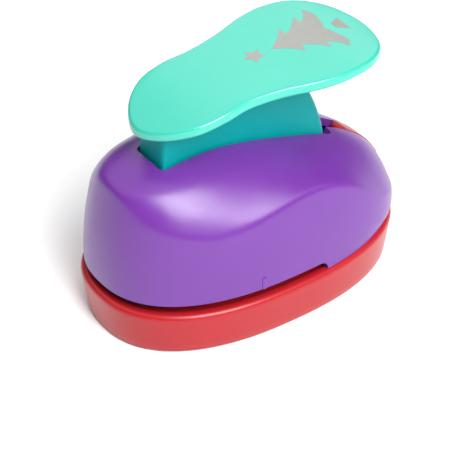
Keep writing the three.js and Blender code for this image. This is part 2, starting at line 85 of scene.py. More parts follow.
base_low, base_high = box_mm("base_shell")
BODY_WIDTH = base_high.x - base_low.x
BODY_LENGTH = base_high.y - base_low.y
FLOOR_GAP = base_low.z
RIM_TOP = base_high.z
DIE_UNDER = box_mm("die_plate")[0].z
PIVOT = centre_mm("pivot_pin")
HEAD_TOP = box_mm("punch_head")[1].z
STEM_HALF = box_mm("lever_stem")[1].x
COVER_LOW = box_mm("cover_shell")[0].z
SPINE_HALF = box_mm("rear_spine")[1].x
SPINE_FRONT = box_mm("rear_spine")[0].y
print("body %.1f x %.1f mm, pivot at z %.1f mm" % (BODY_WIDTH, BODY_LENGTH, PIVOT.z))

# %% [markdown]
# The plan of base and cover is an oval, a superellipse a little squarer than an ellipse. Heights
# along the body are smooth curves through a few chosen points. Both are short formulas, so every
# ring of plastic can ask them where to go.

# %% The oval and the curves
OVAL_POWER = 2.36
CURVE_STEPS = 12


def bend(value):
    return math.copysign(abs(value) ** (2 / OVAL_POWER), value)


def oval(inset, angle):
    """The point of the body's oval at an angle from the front, drawn in by an inset."""
    x = (BODY_WIDTH / 2 - inset) * bend(math.sin(angle))
    y = -(BODY_LENGTH / 2 - inset) * bend(math.cos(angle))
    return x, y


def curve_through(points, steps=CURVE_STEPS, closed=False, spacing=0.0):
    """A Catmull-Rom curve through points, as a list. Spacing 0.5 suits unevenly spread points."""
    count = len(points)
    found = []
    for span in range(count if closed else count - 1):
        picks = [span + k for k in (-1, 0, 1, 2)]
        picks = [i % count if closed else min(max(i, 0), count - 1) for i in picks]
        p = [Vector(points[i]) for i in picks]
        knot = [0.0]
        for a, b in zip(p, p[1:]):
            knot.append(knot[-1] + (b - a).length ** spacing)
        for step in range(steps):
            t = knot[1] + (knot[2] - knot[1]) * step / steps

            def between(a, b, i, j):
                return a.lerp(b, (t - knot[i]) / (knot[j] - knot[i]))

            first = [between(p[i], p[i + 1], i, i + 1) for i in range(3)]
            second = [between(first[i], first[i + 1], i, i + 2) for i in range(2)]
            found.append(between(second[0], second[1], 1, 2))
    return found if closed else found + [Vector(points[-1])]


def height_along(points):
    """A smooth height over the body's length, through points (y, z) from front to rear."""
    curve = curve_through(points)
    along = [point.x for point in curve]
    heights = [point.y for point in curve]
    return lambda y: float(np.interp(y, along, heights))


def smooth(low, high, value):
    share = min(max((value - low) / (high - low), 0.0), 1.0)
    return share * share * (3 - 2 * share)


# The cover's crest along its middle, the shoulder where wall and dome meet, and the plate's top.
crest = height_along([
    (-43.3, 40), (-39, 43.4), (-33, 45.3), (-25, 46.5), (-14, 47.2), (-4, 45.7),
    (10, 41.8), (24, 37.1), (33, 32.3), (39, 27.2), (43.3, 21),
])
shoulder = height_along([
    (-43, 40), (-36, 36.8), (-26, 33.6), (-17, 33.6), (4, 37.3), (17, 34.2), (30, 24), (44, 16),
])
plate_top = height_along([
    (-32, 56.6), (-23, 60), (-8.5, 62.7), (10, 63.8), (26, 64), (38.4, 62.2),
])
print("crest at the pivot %.1f mm, plate at its middle %.1f mm" % (crest(PIVOT.y), plate_top(0)))

# %% [markdown]
# One small function adds a shader node, fills its sockets and links what is given as an output.
# Colours are written as the hex values a paint shop would use, and one function turns them from
# sRGB to the linear light that the renderer counts in.

# %% Node and colour helpers


def linear(code):
    """A hex sRGB colour as linear red, green, blue and alpha."""
    shares = [int(code[i:i + 2], 16) / 255 for i in (0, 2, 4)]
    return [c / 12.92 if c <= 0.04045 else ((c + 0.055) / 1.055) ** 2.4 for c in shares] + [1.0]


def add(tree, kind, sockets=None, **settings):
    """Adds a node. A socket given another node's output is linked, and a plain value is set."""
    node = tree.nodes.new(kind)
    for name, value in settings.items():
        setattr(node, name, value)
    for name, value in (sockets or {}).items():
        if isinstance(value, bpy.types.NodeSocket):
            tree.links.new(value, node.inputs[name])
        else:
            node.inputs[name].default_value = value
    return node


def per_metre(size_mm):
    """The noise scale whose features are about this many millimetres across."""
    return 1 / (size_mm * MM)


def start_material(name):
    """A material with its nodes cleared, and a node that gives the place on the object in metres.
    """
    material = bpy.data.materials.new(name)
    material.use_nodes = True
    tree = material.node_tree
    tree.nodes.clear()
    place = add(tree, "ShaderNodeTexCoord").outputs["Object"]
    return material, tree, place


def finish_material(tree, shader):
    add(tree, "ShaderNodeOutputMaterial", {"Surface": shader.outputs["BSDF"]})


# %% [markdown]
# The shells are ABS, moulded in polished or finely sparked steel tools. Up close such a skin isn't
# one colour: the melt flows in faint clouds, the gloss drifts a little, and the tool leaves a fine
# grain that breaks up highlights. The clouds are about as wide as the flow front, and the real
# grain of some hundredths of a millimetre is drawn coarser so that it shows.

# %% Moulded plastic
FLOW_MM = 14
DRIFT_MM = 4
ABS_IOR = 1.53


def moulded_plastic(name, main, deep, rough, grain_mm, grain_depth_mm, spread, mirror=0.5):
    """ABS with clouded colour, drifting gloss and tool grain. `rough` is its middle roughness."""
    material, tree, place = start_material(name)
    cloud = add(tree, "ShaderNodeTexNoise",
                {"Vector": place, "Scale": per_metre(FLOW_MM), "Detail": 3.0, "Roughness": 0.5})
    colour = add(tree, "ShaderNodeMix",
                 {"Factor": cloud.outputs["Fac"], "A": linear(main), "B": linear(deep)},
                 data_type="RGBA")
    drift = add(tree, "ShaderNodeTexNoise",
                {"Vector": place, "Scale": per_metre(DRIFT_MM), "Detail": 4.0, "Roughness": 0.6})
    gloss = add(tree, "ShaderNodeMapRange",
                {"Value": drift.outputs["Fac"], "From Min": 0.3, "From Max": 0.7,
                 "To Min": rough - spread, "To Max": rough + spread})
    grain = add(tree, "ShaderNodeTexNoise",
                {"Vector": place, "Scale": per_metre(grain_mm), "Detail": 2.0, "Roughness": 0.7})
    bump = add(tree, "ShaderNodeBump",
               {"Height": grain.outputs["Fac"], "Distance": grain_depth_mm * MM, "Strength": 1.0})
    shader = add(tree, "ShaderNodeBsdfPrincipled",
                 {"Base Color": colour.outputs["Result"], "Roughness": gloss.outputs["Result"],
                  "Normal": bump.outputs["Normal"], "IOR": ABS_IOR, "Specular IOR Level": mirror})
    finish_material(tree, shader)
    return material


RED = moulded_plastic("abs_red_polished_mould", "a81a22", "9e161d", 0.30, 0.35, 0.0002, 0.01, 0.35)
PURPLE = moulded_plastic("abs_purple_spark_grained", "672b8e", "5f2784", 0.31, 0.4, 0.006, 0.03)
TEAL = moulded_plastic("abs_teal_spark_grained", "008f90", "008687", 0.34, 0.4, 0.006, 0.03, 0.1)
MINT = moulded_plastic("abs_mint_polished_mould", "2fb5a0", "2bad98", 0.24, 0.35, 0.0002, 0.015,
                       0.75)
print("plastics:", RED.name, PURPLE.name, TEAL.name, MINT.name)

# %% [markdown]
# The metals need different marks. The die and the cutters are tool steel, ground flat, so fine
# lines run along the wheel's path. The frame is zinc, cast in a die and left as it came: mottled
# and slightly pitted. Screws, pin and clips are bright zinc-plated steel. The springs are drawn
# wire. The picture on the plate is silver foil pressed on with a hot stamp, which leaves it matt
# and a little uneven. A metal keeps its default IOR, and its colour is its reflection.

# %% Metals
METAL_DRIFT = 0.08


def metal(name, main, deep, rough, cloud_mm, stretch, grain_mm, grain_depth_mm, share=1.0):
    """A clouded metal. `stretch` draws out its grain, and `share` is how metallic it is."""
    material, tree, place = start_material(name)
    cloud = add(tree, "ShaderNodeTexNoise",
                {"Vector": place, "Scale": per_metre(cloud_mm), "Detail": 4.0})
    colour = add(tree, "ShaderNodeMix",
                 {"Factor": cloud.outputs["Fac"], "A": linear(main), "B": linear(deep)},
                 data_type="RGBA")
    lay = add(tree, "ShaderNodeMapping", {"Vector": place, "Scale": stretch})
    grain = add(tree, "ShaderNodeTexNoise",
                {"Vector": lay.outputs["Vector"], "Scale": per_metre(grain_mm), "Detail": 3.0})
    gloss = add(tree, "ShaderNodeMapRange",
                {"Value": grain.outputs["Fac"], "From Min": 0.25, "From Max": 0.75,
                 "To Min": rough - METAL_DRIFT, "To Max": rough + METAL_DRIFT})
    bump = add(tree, "ShaderNodeBump",
               {"Height": grain.outputs["Fac"], "Distance": grain_depth_mm * MM, "Strength": 1.0})
    shader = add(tree, "ShaderNodeBsdfPrincipled",
                 {"Base Color": colour.outputs["Result"], "Metallic": share,
                  "Roughness": gloss.outputs["Result"], "Normal": bump.outputs["Normal"]})
    finish_material(tree, shader)
    return material


ALONG_X = (0.06, 1.0, 1.0)
EVEN = (1.0, 1.0, 1.0)
GROUND_STEEL = metal("tool_steel_surface_ground", "b9bcc0", "a7aaae", 0.32, 9, ALONG_X, 0.25, 0.006)
CAST_ZINC = metal("zinc_die_cast", "a9a8a2", "93928d", 0.50, 3, EVEN, 0.5, 0.02)
PLATED_STEEL = metal("steel_bright_zinc_plated", "c3c6c8", "b2b6ba", 0.24, 2, EVEN, 0.3, 0.003)
SPRING_WIRE = metal("spring_steel_drawn_wire", "9a9da2", "83868b", 0.30, 1, EVEN, 0.2, 0.003)
FOIL = metal("silver_foil_hot_stamped", "a9aaa5", "9fa09b", 0.50, 2, EVEN, 0.35, 0.006, 0.6)
print("metals:", GROUND_STEEL.name, CAST_ZINC.name, PLATED_STEEL.name, SPRING_WIRE.name, FOIL.name)

# %% [markdown]
# The feet are black rubber, pressed in a tool that was bead-blasted so that they come out matt.
# Rubber is never quite black: a pale bloom of wax sits on it in patches.

# %% Rubber
RUBBER_BLOOM_MM = 1.5
RUBBER_PIT_MM = 0.3
RUBBER_PIT_DEPTH_MM = 0.02
RUBBER_IOR = 1.52


def matt_rubber():
    material, tree, place = start_material("rubber_matt_moulded")
    bloom = add(tree, "ShaderNodeTexNoise", {"Vector": place, "Scale": per_metre(RUBBER_BLOOM_MM),
                                            "Detail": 4.0})
    colour = add(tree, "ShaderNodeMix",
                 {"Factor": bloom.outputs["Fac"], "A": linear("26282a"), "B": linear("3c3e40")},
                 data_type="RGBA")
    pits = add(tree, "ShaderNodeTexNoise", {"Vector": place, "Scale": per_metre(RUBBER_PIT_MM),
                                           "Detail": 2.0})
    bump = add(tree, "ShaderNodeBump",
               {"Height": pits.outputs["Fac"], "Distance": RUBBER_PIT_DEPTH_MM * MM,
                "Strength": 1.0})
    gloss = add(tree, "ShaderNodeMapRange",
                {"Value": pits.outputs["Fac"], "From Min": 0.2, "From Max": 0.8,
                 "To Min": 0.75, "To Max": 0.95})
    shader = add(tree, "ShaderNodeBsdfPrincipled",
                 {"Base Color": colour.outputs["Result"], "Roughness": gloss.outputs["Result"],
                  "Normal": bump.outputs["Normal"], "IOR": RUBBER_IOR})
    finish_material(tree, shader)
    return material


RUBBER = matt_rubber()

# %% [markdown]
# Every moulded shell is built the same way. A flat outline is extruded once for each ring, like a
# stack of hoops, and then each hoop's points go where the ring's formula puts them. The stack keeps
# even quads, which shade smoothly. A finished piece has its doubles merged and its faces turned
# outwards, is scaled to metres in its mesh, and rides on a body of the frame.

# %% Rings and pieces
WELD = 0.001
SHARP_ANGLE = math.radians(38)


def raise_rings(bm, rings):
    """Extrudes an outline once for each further ring, then puts each point where its ring says."""
    loop = bm.edges[:]
    for _ in rings[1:]:
        made = bmesh.ops.extrude_edge_only(bm, edges=loop)["geom"]
        fresh = {part for part in made if isinstance(part, bmesh.types.BMVert)}
        bmesh.ops.translate(bm, verts=list(fresh), vec=(0, 0, 1))
        loop = [edge for edge in bm.edges if fresh.issuperset(edge.verts)]
    number = bm.verts.layers.int.new("ring")
    for vert in bm.verts:
        vert[number] = round(vert.co.z)
        vert.co = rings[vert[number]](vert.co.x, vert.co.y)


def circle_angle(x, y):
    """The angle from the front of a point on the starting circle."""
    return math.atan2(x, -y)


def finish_piece(bm, name, body, finish, nodes=()):
    """Turns a bmesh in millimetres into a piece in metres."""
    bmesh.ops.remove_doubles(bm, verts=bm.verts, dist=WELD)
    bmesh.ops.recalc_face_normals(bm, faces=bm.faces)
    bmesh.ops.scale(bm, verts=bm.verts, vec=(MM, MM, MM))
    mesh = bpy.data.meshes.new(name)
    bm.to_mesh(mesh)
    bm.free()
    mesh.shade_smooth()
    mesh.set_sharp_from_angle(angle=SHARP_ANGLE)
    mesh.materials.append(finish)
    piece = bpy.data.objects.new(name, mesh)
    bpy.context.scene.collection.objects.link(piece)
    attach(piece, body)
    if nodes:
        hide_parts(*nodes)
    print("%-22s %6d faces on %s" % (name, len(mesh.polygons), body))
    return piece


def rounding(radius, steps):
    """Pairs (inset, drop) round a quarter circle, from its side to its top."""
    turns = [k / steps * math.pi / 2 for k in range(steps + 1)]
    return [(radius * (1 - math.cos(turn)), radius * (1 - math.sin(turn))) for turn in turns]


# %% [markdown]
# The base is one hollow moulding: a wall that flares out as it rises, a rounded rim with a shallow
# moat behind it, and a deck with a sunk seat for the die and a chute for the cut-outs. Its rings go
# once round the whole section and end where they began, so the skin closes on itself like a tyre.

# %% The base
RING_SIDES = 160
BASE_WALL = 2.2
BASE_FLARE = 1.3
RIM_RADIUS = 1.4
RIM_FLAT = 0.9
MOAT = 0.9
MOAT_PROFILE = ((0, 0), (0.3, 0.15), (0.5, 0.85), (0.8, 1))
MOAT_MARGIN = 1.4
EDGE = 0.4
POCKET_EASE = 0.3
FOOT_EASE = ((EDGE, EDGE), (0.3 * EDGE, 0.7 * EDGE), (0, 0))
DECK_THICK = 1
DECK_FILLET = 1.0
OUTER_LEVELS = (3, 7)
INNER_LEVEL = 5
DECK_UNDER = DIE_UNDER - DECK_THICK
CHUTE = {"x": 12.5, "y": (-14, 14), "corner": 1.2}
POCKET = {"x": 18.7, "y": (-20.7, 26.8), "corner": 3.0}


def oval_ring(inset, z):
    return lambda x, y: (*oval(inset, circle_angle(x, y)), z)


def window_point(angle, window, grow):
    """Where the line from the middle at an angle of the oval meets a rounded window's edge."""
    half = window["x"] + grow
    front, rear = window["y"][0] - grow, window["y"][1] + grow
    corner = window["corner"]
    direction = Vector(oval(0, angle)).normalized()
    side = half / abs(direction.x) if abs(direction.x) > 1e-9 else 1e9
    end = (rear if direction.y > 0 else -front) / max(abs(direction.y), 1e-9)
    hit = direction * min(side, end)
    middle_y = rear - corner if direction.y > 0 else front + corner
    middle = Vector((math.copysign(half - corner, direction.x), middle_y))
    beyond_x = abs(hit.x) > half - corner
    beyond_y = hit.y > rear - corner or hit.y < front + corner
    if beyond_x and beyond_y:
        along = direction.dot(middle)
        off = middle.length_squared - along * along
        hit = direction * (along + math.sqrt(max(corner * corner - off, 0.0)))
    return hit.x, hit.y


def window_ring(window, z, grow=0.0):
    return lambda x, y: (*window_point(circle_angle(x, y), window, grow), z)


def base_rings():
    wall_top = RIM_TOP - RIM_RADIUS

    def outside(z):
        return BASE_FLARE * (wall_top - z) / (wall_top - FLOOR_GAP)

    def inside(z):
        return BASE_WALL + outside(z)

    rings = [oval_ring(outside(FLOOR_GAP) + inset, FLOOR_GAP + EDGE - drop)
             for inset, drop in FOOT_EASE]
    rings += [oval_ring(outside(z), z) for z in (*OUTER_LEVELS, wall_top - EDGE)]
    rings += [oval_ring(inset, RIM_TOP - drop) for inset, drop in rounding(RIM_RADIUS, 8)]
    rings += [oval_ring(RIM_RADIUS + RIM_FLAT + inset, RIM_TOP - MOAT * drop)
              for inset, drop in MOAT_PROFILE]
    rings += [window_ring(POCKET, RIM_TOP - MOAT, MOAT_MARGIN)]
    rings += [window_ring(POCKET, RIM_TOP - EDGE, EDGE + POCKET_EASE)]
    rings += [window_ring(POCKET, RIM_TOP, EDGE), window_ring(POCKET, RIM_TOP - EDGE)]
    rings += [window_ring(POCKET, DIE_UNDER), window_ring(CHUTE, DIE_UNDER, EDGE)]
    rings += [window_ring(CHUTE, DIE_UNDER - EDGE), window_ring(CHUTE, DECK_UNDER)]
    rings += [oval_ring(inside(DECK_UNDER) + DECK_FILLET, DECK_UNDER)]
    rings += [oval_ring(inside(z), z)
              for z in (DECK_UNDER - DECK_FILLET, INNER_LEVEL, FLOOR_GAP + EDGE)]
    rings += [oval_ring(inside(FLOOR_GAP) - POCKET_EASE, FLOOR_GAP)]
    return rings + [rings[0]]


bm = bmesh.new()
bmesh.ops.create_circle(bm, segments=RING_SIDES, radius=1)
raise_rings(bm, base_rings())
finish_piece(bm, "base_moulding", "base", RED, ["base_shell"])

# %% [markdown]
# The cover is a domed shell, moulded whole. Its side wall leans in as it rises to a soft crease,
# and the dome goes on from there to the slot for the lever. The outline to start from is the slot
# itself: a rectangle with rounded corners, cut where the paper gap's corner will come. Its rings
# spread out over the dome and run down the wall, so that columns of quads join slot and edge.

# %% The cover's sizes
COVER_INSET = 0.9
COVER_LEAN = 0.005
COVER_EDGE = 15.3
REAR_BULGE = 0.9
COVER_WALL = 2.0
BULGE_Y = (12, 36)
BULGE_RISE = 2.5
DOME_POWER = {"front": 3.4, "rear": 2.4}
DOME_CHANGE_Y = (-30, -8)
SLOT_HALF = 6.0
SLOT_Y = (-26.9, 25.3)
SLOT_CORNER = 1.6
SLIT_HALF = 2.7
GAP_END = 9.5
GAP_CORNER = 2.6
LIP = 0.5


def wall_inset(y, z):
    lean = COVER_LEAN * max(z - COVER_EDGE, 0) ** 2
    bulge = REAR_BULGE * smooth(*BULGE_Y, y) * smooth(COVER_LOW, COVER_LOW + BULGE_RISE, z)
    return COVER_INSET + lean - bulge


def wall_point(angle, z):
    """The cover's wall at an angle and a height."""
    _, y = oval(COVER_INSET, angle)
    return (*oval(wall_inset(y, z), angle), z)


def dome_height(x, y):
    """The dome over a point of the plan: up from the shoulder at the wall to the crest."""
    inset = wall_inset(y, shoulder(y))
    along = min(abs(y) / (BODY_LENGTH / 2 - inset), 1)
    half = (BODY_WIDTH / 2 - inset) * (1 - along ** OVAL_POWER) ** (1 / OVAL_POWER)
    across = min(abs(x) / half, 1) if half > 0 else 0
    change = DOME_POWER["rear"] - DOME_POWER["front"]
    power = DOME_POWER["front"] + change * smooth(*DOME_CHANGE_Y, y)
    return shoulder(y) + (crest(y) - shoulder(y)) * (1 - across ** power)


# %% [markdown]
# Each point of the slot's outline needs a partner on the oval. A point on a straight side looks
# straight out, a point on an end looks straight ahead, and the points of a corner fan out between.

# %% From the slot to the oval


def turn_for(x, y):
    """The oval's angle that belongs to a point of the slot's outline."""
    half_x = BODY_WIDTH / 2 - COVER_INSET
    half_y = BODY_LENGTH / 2 - COVER_INSET
    flat_x = SLOT_HALF - SLOT_CORNER
    ends = (SLOT_Y[0] + SLOT_CORNER, SLOT_Y[1] - SLOT_CORNER)

    def beside(at_y):
        share = math.copysign((abs(at_y) / half_y) ** (OVAL_POWER / 2), -at_y)
        return math.acos(share)

    def ahead(at_x):
        turn = math.asin((abs(at_x) / half_x) ** (OVAL_POWER / 2))
        return turn if y < 0 else math.pi - turn

    if ends[0] <= y <= ends[1]:
        turn = beside(y)
    elif abs(x) <= flat_x:
        turn = ahead(x)
    else:
        end = ends[0] if y < 0 else ends[1]
        share = math.atan2(abs(x) - flat_x, abs(y - end)) / (math.pi / 2)
        turn = ahead(flat_x) + (beside(end) - ahead(flat_x)) * share
    return math.copysign(turn, x)


def dome_ring(share):
    """A ring on the dome, from the slot (0) to the shoulder (1)."""

    def place(x, y):
        angle = turn_for(x, y)
        end = wall_point(angle, shoulder(oval(COVER_INSET, angle)[1]))
        at_x = x + (end[0] - x) * share
        at_y = y + (end[1] - y) * share
        return Vector((at_x, at_y, dome_height(at_x, at_y)))

    return place


def wall_ring(share, low):
    """A ring on the wall, from the shoulder (0) down to the height `low` gives (1)."""

    def place(x, y):
        angle = turn_for(x, y)
        home_y = oval(COVER_INSET, angle)[1]
        top = shoulder(home_y)
        return Vector(wall_point(angle, top + (low(home_y) - top) * share))

    return place


def crease_ring(above, below, t):
    """A ring of the soft crease, on a curve from the dome over the shoulder to the wall."""
    corner = wall_ring(0, gap_edge)

    def place(x, y):
        start, middle, end = above(x, y), corner(x, y), below(x, y)
        return start * (1 - t) ** 2 + middle * 2 * t * (1 - t) + end * t ** 2

    return place


def gap_edge(y):
    """The cover's lower edge along the paper gap, with its round inner corner."""
    past = min(max(y - (GAP_END - GAP_CORNER), 0), GAP_CORNER)
    return COVER_EDGE - GAP_CORNER + math.sqrt(GAP_CORNER ** 2 - past ** 2)


# %% [markdown]
# The outline starts as a grid's one face, with its corners rounded. Its long sides are cut into
# many short edges, and cut again where the paper gap ends, so that its corner lands on points.

# %% The slot's outline
CORNER_STEPS = 16
SIDE_CUTS = 28
END_CUTS = 3
GAP_CUTS = 5


def slot_outline():
    bm = bmesh.new()
    bmesh.ops.create_grid(bm, x_segments=1, y_segments=1, size=1)
    middle_y = sum(SLOT_Y) / 2
    half_y = SLOT_Y[1] - middle_y
    bmesh.ops.scale(bm, verts=bm.verts, vec=(SLOT_HALF, half_y, 1))
    bmesh.ops.translate(bm, verts=bm.verts, vec=(0, middle_y, 0))
    bmesh.ops.bevel(bm, geom=bm.verts[:], offset=SLOT_CORNER, segments=CORNER_STEPS, profile=0.5,
                    affect="VERTICES", material=-1)
    bmesh.ops.delete(bm, geom=bm.faces[:], context="FACES_ONLY")
    sides = [edge for edge in bm.edges if edge.calc_length() > 4 * SLOT_HALF]
    bmesh.ops.subdivide_edges(bm, edges=sides, cuts=SIDE_CUTS)
    ends = [edge for edge in bm.edges if edge.calc_length() > SLOT_HALF]
    bmesh.ops.subdivide_edges(bm, edges=ends, cuts=END_CUTS)
    for step in range(GAP_CUTS):
        y = GAP_END - GAP_CORNER + GAP_CORNER * math.sin(step * math.pi / 2 / (GAP_CUTS - 1))
        bmesh.ops.bisect_plane(bm, geom=bm.verts[:] + bm.edges[:], plane_co=(0, y, 0),
                               plane_no=(0, 1, 0), dist=WELD)
    return bm


# %% [markdown]
# The rings are raised from the slot down to the wall's foot. A light smoothing evens the crease.
# Then the paper gap and the rear slit are cut away, and two modifiers give the skin its wall and
# ease its lips, as a moulder would leave them.

# %% The cover
DOME_RINGS = 15
DOME_STEP = 1 / 16
CREASE_STARTS = 0.94
CREASE_ENDS = 0.07
CREASE_STEPS = 6
WALL_SHARES = (0.2, 0.35, 0.5, 0.65, 0.8, 0.92, 1)
EASED_AFTER = 3
EASED_BEFORE_END = 7
EASING_PASSES = 3
LIP_ANGLE = math.radians(50)

bm = slot_outline()
near_dome = dome_ring(CREASE_STARTS)
near_wall = wall_ring(CREASE_ENDS, gap_edge)
rings = [dome_ring(k * DOME_STEP) for k in range(DOME_RINGS)]
rings += [crease_ring(near_dome, near_wall, k / CREASE_STEPS) for k in range(CREASE_STEPS + 1)]
rings += [wall_ring(share, gap_edge) for share in WALL_SHARES]
rings += [wall_ring(1, lambda y: COVER_LOW)]
raise_rings(bm, rings)
number = bm.verts.layers.int["ring"]
easing = [vert for vert in bm.verts if EASED_AFTER < vert[number] < len(rings) - EASED_BEFORE_END]
for _ in range(EASING_PASSES):
    bmesh.ops.smooth_vert(bm, verts=easing, factor=0.5, use_axis_x=True, use_axis_y=True,
                          use_axis_z=True)

open_gap = [face for face in bm.faces
            if face.calc_center_median().y < GAP_END
            and min(vert.co.z for vert in face.verts) < COVER_LOW + WELD]
bmesh.ops.delete(bm, geom=open_gap, context="FACES")
for x in (-SLIT_HALF, SLIT_HALF):
    rear = [face for face in bm.faces if face.calc_center_median().y > SLOT_Y[1] - 1]
    near = {part for face in rear for part in (*face.verts, *face.edges)}
    bmesh.ops.bisect_plane(bm, geom=rear + list(near), plane_co=(x, 0, 0), plane_no=(1, 0, 0),
                           dist=WELD)
slit = [face for face in bm.faces
        if abs(face.calc_center_median().x) < SLIT_HALF and face.calc_center_median().y > SLOT_Y[1]]
bmesh.ops.delete(bm, geom=slit, context="FACES")
cover = finish_piece(bm, "cover_moulding", "base", PURPLE, ["cover_shell"])
wall = cover.modifiers.new("wall", "SOLIDIFY")
wall.thickness = COVER_WALL * MM
wall.offset = -1
wall.use_even_offset = True
lips = cover.modifiers.new("lips", "BEVEL")
lips.width = LIP * MM
lips.segments = 3
lips.limit_method = "ANGLE"
lips.angle_limit = LIP_ANGLE
lips.harden_normals = True

# %% [markdown]
# Behind the slot the cover is split by a narrow slit, and a red spine of the base fills it, flush
# with the dome. It is drawn as its side view, pushed out to its width, with its edges eased.

# %% The rear spine
SPINE_NOSE = 1.6
SPINE_STEPS = 14
SPINE_WALL_STEPS = 5
SPINE_EASE = 0.5
SPINE_CLEAR = 0.3
NOSE_TURN = (math.pi, 0.56 * math.pi)


def outline_slab(points, half):
    """A side view in (y, z), filled and extruded to 2 x half wide, with its middle at x 0."""
    bm = bmesh.new()
    verts = [bm.verts.new((-half, y, z)) for y, z in points]
    face = bm.faces.new(verts)
    made = bmesh.ops.extrude_face_region(bm, geom=[face])["geom"]
    moved = [part for part in made if isinstance(part, bmesh.types.BMVert)]
    bmesh.ops.translate(bm, verts=moved, vec=(2 * half, 0, 0))
    bmesh.ops.recalc_face_normals(bm, faces=bm.faces)
    return bm


def edges_at(bm, test):
    """Edges along the outline, on either side, whose two ends pass a test on (y, z)."""
    level = [e for e in bm.edges if abs(e.verts[0].co.x - e.verts[1].co.x) < WELD]
    return [e for e in level if all(test(vert.co.y, vert.co.z) for vert in e.verts)]


def soften(bm, edges, radius, segments):
    bmesh.ops.bevel(bm, geom=edges, offset=radius, segments=segments, profile=0.5,
                    affect="EDGES", material=-1, clamp_overlap=True)


def arc(centre, radius, start, end, steps):
    turns = [start + (end - start) * k / steps for k in range(steps + 1)]
    return [(centre[0] + radius * math.cos(t), centre[1] + radius * math.sin(t)) for t in turns]


def spine_outline():
    rear_end = wall_point(math.pi, shoulder(BODY_LENGTH / 2))[1]
    start = SPINE_FRONT + SPINE_NOSE
    reach = rear_end - SPINE_CLEAR - start
    top = [start + reach * k / SPINE_STEPS for k in range(SPINE_STEPS + 1)]
    dome = [(y, dome_height(0, y)) for y in top]
    nose = arc((start, dome[0][1] - SPINE_NOSE), SPINE_NOSE, *NOSE_TURN, SPINE_WALL_STEPS)
    rise = shoulder(rear_end) - RIM_TOP
    heights = [RIM_TOP + rise * k / SPINE_WALL_STEPS for k in range(SPINE_WALL_STEPS, -1, -1)]
    wall = [wall_point(math.pi, z)[1:] for z in heights]
    return [*nose, *dome, *wall, (SPINE_FRONT, RIM_TOP)]


bm = outline_slab(spine_outline(), SPINE_HALF)
soften(bm, edges_at(bm, lambda y, z: z > RIM_TOP + 1), SPINE_EASE, 3)
finish_piece(bm, "rear_spine_rib", "base", RED, ["rear_spine"])

# %% [markdown]
# The stem is a thick web. In side view it has a straight front, a round hub on the pivot, a nose
# that pushes the punch down, and an arched rear. Its tall edges have a generous radius. The top
# ends just inside the plate, so that no gap can show between the two.

# %% The stem
STEM_FRONT = -26.1
STEM_LOW = 35.6
STEM_HIGH = 60.9
STEM_CHEST = 44
STEM_OVERLAP = 0.4
HUB_TURN = (0.83 * math.pi, 1.8 * math.pi)
TIP_TURN = (1.1 * math.pi, 1.9 * math.pi)
HUB_RADIUS = 4.3
STEM_REAR = {"at": (-27.2, 28.2), "radius": 51.1}
FRONT_ROUND = 2.6
REAR_ROUND = 1.4
PLATE_THICK = 3.0
PLATE_DROP = 0.06


def stem_outline():
    nose = PIVOT.z - HEAD_TOP
    hub = arc((PIVOT.y, PIVOT.z), HUB_RADIUS, *HUB_TURN, 14)
    tip = arc((0, PIVOT.z), nose, *TIP_TURN, 10)
    at, radius = STEM_REAR["at"], STEM_REAR["radius"]

    def turn_at(z):
        return math.asin((z - at[1]) / radius)

    rear = arc(at, radius, turn_at(STEM_LOW), turn_at(STEM_HIGH), 24)
    under = PLATE_THICK - STEM_OVERLAP
    steps = [rear[-1][0] + (STEM_FRONT - rear[-1][0]) * k / 12 for k in range(1, 13)]
    top = [(y, plate_top(y) - under) for y in steps]
    lead = (-nose - 3, PIVOT.z - 0.4)
    tail = (nose + 1, PIVOT.z - 0.1)
    return [(STEM_FRONT, STEM_CHEST), *hub, lead, *tip, tail, *rear, *top]


bm = outline_slab(stem_outline(), STEM_HALF)
front = edges_at(bm, lambda y, z: abs(y - STEM_FRONT) < WELD and z > STEM_CHEST - 1)
arched = edges_at(bm, lambda y, z: math.hypot(y - STEM_REAR["at"][0], z - STEM_REAR["at"][1])
                  > STEM_REAR["radius"] - WELD)
soften(bm, front, FRONT_ROUND, 8)
soften(bm, [edge for edge in arched if edge.is_valid], REAR_ROUND, 5)
finish_piece(bm, "stem_web", "lever", TEAL, ["lever_stem"])

# %% [markdown]
# The thumb plate is a pebble of even thickness: waisted in plan, bent along its length, with a
# small round on its upper edge and a larger one below. Its plan is a closed curve through a few
# points of one side and their mirror images. Rings start on the middle line, spread over the top,
# roll round the rim and come back along the underside.

# %% The plate
PLATE_SIDES = 120
PLATE_ROUND = 0.7
PLATE_UNDER_ROUND = 1.1
PLATE_ROUND_STEPS = 7
PLATE_SPREAD = (0, 0.3, 0.6, 0.85)
PLATE_MIDDLE = 0.82
PLATE_TIPS = {"front": (0, -30.5), "rear": (0, 38.3)}
PLATE_SIDE = [
    (7.7, -27.3), (12.8, -20.7), (14, -13.5), (13.6, -6), (15, 3),
    (17.7, 12), (18.6, 19.6), (16.8, 28.5), (10.9, 35.4),
]
mirrored = [(-x, y) for x, y in reversed(PLATE_SIDE)]
plate_plan = curve_through([PLATE_TIPS["front"], *PLATE_SIDE, PLATE_TIPS["rear"], *mirrored],
                           steps=PLATE_SIDES // 20, closed=True, spacing=0.5)


